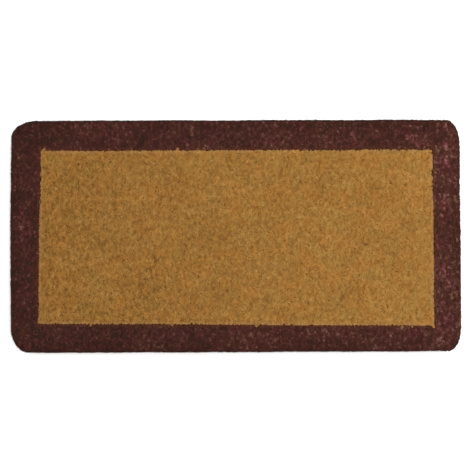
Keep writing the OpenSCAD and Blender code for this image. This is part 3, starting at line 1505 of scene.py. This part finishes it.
@dataclass
class Foundation:
    """The woven base: chains, wefts and stuffers, with tucked chain ends."""

    outline: Outline
    yarns: YarnTree
    chain_r: float = 1.1 * MM
    weft_r: float = 1.2 * MM
    stuffer_r: float = 1.2 * MM
    chain_pitch: float = 9 * MM
    twin_gap: float = 1.2 * MM
    fit: float = 0.15 * MM
    rings: int = 6
    turn_steps: int = 7
    weft_steps: int = 10
    stuffer_steps: int = 12

    def __post_init__(self) -> None:
        """Reads the yarns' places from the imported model."""
        low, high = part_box("weft_yarns")
        self.half_wid = high.y
        self.wefts = round((high.x - low.x) / ROW_STEP) + 1
        low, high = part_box("warp_tucks_right")
        self.mid = (low.z + high.z) / 2
        self.half_len = high.x
        self.chains = round((high.y - low.y) / self.chain_pitch) + 1
        self.rise = (high.z - low.z) / 2 - self.chain_r
        self.weft_rise = self.weft_r + self.stuffer_r

    def build(self) -> list[bpy.types.Object]:
        """Lays every yarn of the base.

        Returns:
            The pieces, with the woven wefts first.
        """
        wefts, over, under, straight, left, right = (
            Lines() for _ in range(6))
        for number in range(self.chains):
            y = (number - (self.chains - 1) / 2) * self.chain_pitch
            ends = [self._end(side, y) for side in (-1, 1)]
            over.add(self._chain(ends, y, 1))
            under.add(self._chain(ends, y, -1))
            left.add(self._tuck(-1, ends[0], y))
            right.add(self._tuck(1, ends[1], y))
        for number in range(self.chains - 1):
            y = (number - (self.chains - 2) / 2) * self.chain_pitch
            x = np.linspace(self._end(-1, y), self._end(1, y),
                            self.stuffer_steps)
            straight.add(np.column_stack([
                x, np.full(len(x), y), np.full(len(x), self.mid)]))
        for number in range(self.wefts):
            wefts.add(self._weft(number))
        rows = (("woven_wefts", wefts, self.weft_r, 6, "weft_yarns"),
                ("chain_yarns_over", over, self.chain_r, 4,
                 "chain_warp_upper"),
                ("chain_yarns_under", under, self.chain_r, 4,
                 "chain_warp_lower"),
                ("stuffer_yarns", straight, self.stuffer_r, 6,
                 "stuffer_warp"),
                ("chain_ends_left", left, self.chain_r, 6,
                 "warp_tucks_left"),
                ("chain_ends_right", right, self.chain_r, 6,
                 "warp_tucks_right"))
        return [self.yarns.lay(name, lines, radius, sides, BASE_YARN, node)
                for name, lines, radius, sides, node in rows]

    def _end(self, side: int, y: float) -> float:
        """Where the straight part of a yarn along X ends.

        Args:
            side: -1 for the left end and 1 for the right.
            y: the yarn's place across the mat.

        Returns:
            Its X.
        """
        near = self.half_wid - abs(y) - self.chain_r
        cut = self._cut(side, 1 if y > 0 else -1, near)
        return side * (self.half_len - cut - self.mid)

    def _cut(self, side_x: int, side_y: int, near: float) -> float:
        """How far a round corner of the base cuts in.

        Args:
            side_x: the corner's side along X.
            side_y: the corner's side along Y.
            near: the distance from the side that the corner starts at.

        Returns:
            The depth of the cut, from the other side.
        """
        corner = self.outline.turns[Corner((side_x, side_y))][0]
        corner -= self.outline.half_len - self.half_len
        past = corner - near
        if past <= 0:
            return 0.0
        return corner - math.sqrt(max(corner ** 2 - past ** 2, 0.0))

    def _chain(self, ends: Sequence[float], y: float, twin: int) -> Array:
        """One chain yarn, which goes over one weft and under the next.

        Args:
            ends: its X at the left and at the right.
            y: its pair's place across the mat.
            twin: 1 or -1, for the two yarns of a pair.

        Returns:
            Its path.
        """
        period = 2 * ROW_STEP
        first = math.ceil(ends[0] / period * self.rings)
        last = math.floor(ends[1] / period * self.rings)
        x = np.arange(first, last + 1) * period / self.rings
        wave = np.cos(math.tau * x / period)
        z = self.mid + twin * self.rise * np.sign(wave) * np.abs(wave) ** 0.8
        path = np.column_stack([x, np.full(len(x), y + twin * self.twin_gap),
                                z])
        level = self.mid + twin * self.rise
        start = [ends[0], y + twin * self.twin_gap / 2, level]
        stop = [ends[1], y + twin * self.twin_gap / 2, level]
        return np.vstack([start, path[1:-1], stop])

    def _tuck(self, side: int, end: float, y: float) -> Array:
        """The end of a pair of chains, turned down and under.

        Args:
            side: -1 for the left end and 1 for the right.
            end: the X where the turn starts.
            y: the pair's place across the mat.

        Returns:
            Its path.
        """
        angle = np.linspace(math.pi / 2, -math.pi / 2, self.turn_steps)
        return np.column_stack([
            end + side * self.rise * np.cos(angle),
            y + self.twin_gap / 2 * np.sin(angle),
            self.mid + self.rise * np.sin(angle)])

    def _weft(self, number: int) -> Array:
        """One weft: across, round the last stuffer, and back.

        Args:
            number: which weft it is, from the left.

        Returns:
            Its path.
        """
        x = (number - (self.wefts - 1) / 2) * ROW_STEP
        reach = []
        for side in (-1, 1):
            near = self.half_len - abs(x) - self.mid - self.weft_r
            cut = self._cut(1 if x > 0 else -1, side, near)
            reach.append(self._turn_at(
                self.half_wid - cut - self.weft_rise - self.weft_r))
        turn = 1 if number % 2 == 0 else -1
        start, stop = (-reach[0], reach[1])[::turn]
        y = np.linspace(start, stop, self.weft_steps)
        level = np.full(self.weft_steps, self.weft_rise)
        angle = np.linspace(math.pi / 2, -math.pi / 2, self.turn_steps)[1:-1]
        path_y = np.concatenate([
            y, stop + turn * self.weft_rise * np.cos(angle), y[::-1]])
        path_z = self.mid + np.concatenate([
            level, self.weft_rise * np.sin(angle), -level])
        return np.column_stack([np.full(len(path_y), x), path_y, path_z])

    def _turn_at(self, y: float) -> float:
        """Where a weft turns, pulled in if the next stuffer is too near.

        Args:
            y: how far out it could turn.

        Returns:
            How far out it turns.
        """
        number = math.ceil(y / self.chain_pitch - 0.5)
        if number >= (self.chains - 1) / 2:
            return y
        clear = self.weft_rise + self.weft_r + self.stuffer_r + self.fit
        return min(y, (number + 0.5) * self.chain_pitch - clear)


@dataclass
class EdgeBraid:
    """The plaited braid round the foundation and the twine that sews it on."""

    outline: Outline
    yarns: YarnTree
    strand_r: float = 1.15 * MM
    twine_r: float = 0.6 * MM
    plait: float = 15 * MM
    plait_rings: int = 8
    stitch_pitch: float = 16 * MM
    stitch_points: int = 12
    slants: tuple[float, float] = (0.10, 0.35)
    seed: int = 31

    def __post_init__(self) -> None:
        """Reads the braid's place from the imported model."""
        low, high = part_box("edge_stitches_right")
        self.mid = (low.z + high.z) / 2
        self.half_height = (high.z - low.z) / 2 - self.twine_r
        _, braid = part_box("braid_strand_middle")
        self.inset = (self.outline.half_len - high.x
                      + (high.x - braid.x) + braid.z - self.mid)
        self.half_width = high.x - self.twine_r - (
            self.outline.half_len - self.inset)

    def build(self) -> list[bpy.types.Object]:
        """Plaits the braid and sews it on.

        Returns:
            The strands and the stitches.
        """
        pieces = []
        spots, ways = self.outline.walk(self.inset,
                                        self.plait / self.plait_rings)
        run = np.arange(len(spots)) / len(spots)
        turns = round(len(spots) / self.plait_rings / 3) * 3
        high = self.half_height - self.twine_r - self.strand_r
        wide = self.half_width - self.twine_r - self.strand_r
        for number, level in enumerate(("lower", "middle", "upper")):
            phase = math.tau * (run * turns + number / 3)
            plan = spots + ways * (wide * np.sin(2 * phase))[:, None]
            lines = Lines()
            lines.add(np.column_stack([
                plan, self.mid + high * np.sin(phase)]), closed=True)
            pieces.append(self.yarns.lay(
                f"plaited_strand_{level}", lines, self.strand_r, 6,
                BRAID_COIR, f"braid_strand_{level}"))
        return pieces + self._sew()

    def _sew(self) -> list[bpy.types.Object]:
        """Makes the stitches of the four sides.

        Returns:
            One piece a side.
        """
        spots, ways = self.outline.walk(self.inset, self.stitch_pitch)
        lines = {zone: Lines() for zone in Zone if zone is not Zone.FIELD}
        draw = np.random.default_rng(self.seed)
        for spot, way in zip(spots, ways):
            if abs(way[0]) > 0.5:
                zone = Zone.RIGHT if way[0] > 0 else Zone.LEFT
            else:
                zone = Zone.REAR if way[1] > 0 else Zone.FRONT
            lines[zone].add(self._stitch(spot, way, draw), closed=True)
        return [self.yarns.lay(f"twine_stitches_{zone.value}", paths,
                             self.twine_r, 5, TWINE,
                             f"edge_stitches_{zone.value}")
                for zone, paths in lines.items()]

    def _stitch(self, spot: Array, way: Array,
                draw: np.random.Generator) -> Array:
        """One loop of twine round the braid.

        Args:
            spot: where it is in plan.
            way: the direction outwards there.
            draw: where its random numbers come from.

        Returns:
            Its path.
        """
        angle = math.tau * np.arange(self.stitch_points) / self.stitch_points
        out = self._squared(np.cos(angle)) * self.half_width
        up = self._squared(np.sin(angle)) * self.half_height
        slant = draw.uniform(*self.slants) * up
        along = np.array([-way[1], way[0]])
        plan = spot + way * out[:, None] + along * slant[:, None]
        return np.column_stack([plan, self.mid + up])

    @staticmethod
    def _squared(wave: Array) -> Array:
        """A wave with fuller shoulders, for a loop with square corners."""
        return np.sign(wave) * np.abs(wave) ** 0.5


# ---- Studio ------------------------------------------------------------


@dataclass
class Studio:
    """Camera, lights and floor."""

    elevation: float = 85.5
    distance: float = 5.512
    lens: float = 207.0
    roll: float = -0.2
    aim: tuple[float, float, float] = (-0.001, 0.0010, 0.033)
    floor_half: float = 12.0
    sky: float = 1.3
    key: float = 90.0
    key_size: float = 3.0
    key_place: tuple[float, float, float] = (0.7, 0.35, 2.8)

    def build(self) -> None:
        """Sets the studio up."""
        self._camera()
        self._lights()
        self._floor()
        bpy.context.scene.view_settings.view_transform = "Standard"

    def _camera(self) -> None:
        """Puts the camera almost straight above the mat."""
        data = bpy.data.cameras.new("studio_camera")
        data.lens = self.lens
        data.sensor_width = 36.0
        data.clip_end = 100.0
        camera = bpy.data.objects.new("studio_camera", data)
        angle = math.radians(self.elevation)
        back = Vector((0.0, -math.cos(angle), math.sin(angle)))
        camera.location = Vector(self.aim) + back * self.distance
        turn = Quaternion(back, math.radians(self.roll))
        camera.rotation_mode = "QUATERNION"
        camera.rotation_quaternion = turn @ (-back).to_track_quat("-Z", "Y")
        bpy.context.scene.collection.objects.link(camera)
        bpy.context.scene.camera = camera

    def _lights(self) -> None:
        """Hangs one large soft light over a pale, even sky."""
        world = bpy.data.worlds.new("studio_sky")
        world.use_nodes = True
        sky = Tree(world.node_tree)
        sky.tree.nodes.clear()
        glow = sky.add("ShaderNodeBackground", {},
                       {"Color": (1.0, 1.0, 1.0, 1.0),
                        "Strength": self.sky})["Background"]
        sky.add("ShaderNodeOutputWorld", {}, {"Surface": glow})
        bpy.context.scene.world = world
        data = bpy.data.lights.new("key_light", "AREA")
        data.shape = "DISK"
        data.size = self.key_size
        data.energy = self.key
        light = bpy.data.objects.new("key_light", data)
        light.location = self.key_place
        towards = -Vector(light.location)
        light.rotation_euler = towards.to_track_quat("-Z", "Y").to_euler()
        bpy.context.scene.collection.objects.link(light)

    def _floor(self) -> None:
        """Lays the floor under the mat."""
        half = self.floor_half
        corners = np.array([(-half, -half, 0), (half, -half, 0),
                            (half, half, 0), (-half, half, 0)])
        mesh = plain_mesh("studio_floor", corners, faces=[(0, 1, 2, 3)])
        mesh.materials.append(FloorFinish().build())
        floor = bpy.data.objects.new("studio_floor", mesh)
        bpy.context.scene.collection.objects.link(floor)


# ---- The mat -----------------------------------------------------------


def main() -> None:
    """Builds the mat and its studio."""
    logging.basicConfig(level=logging.INFO, format="%(name)s: %(message)s")
    Studio().build()
    pile_line = Outline.of_frame(PILE_TURNS)
    sewn_line = Outline.of_frame(SEWN_TURNS)
    stand, lay = StandTree(), YarnTree()
    Pile(pile_line, stand).build()
    LooseFibres(pile_line, stand).build()
    woven, *yarns = Foundation(sewn_line, lay).build()
    edging = EdgeBraid(sewn_line, lay).build()


if __name__ == "__main__":
    main()
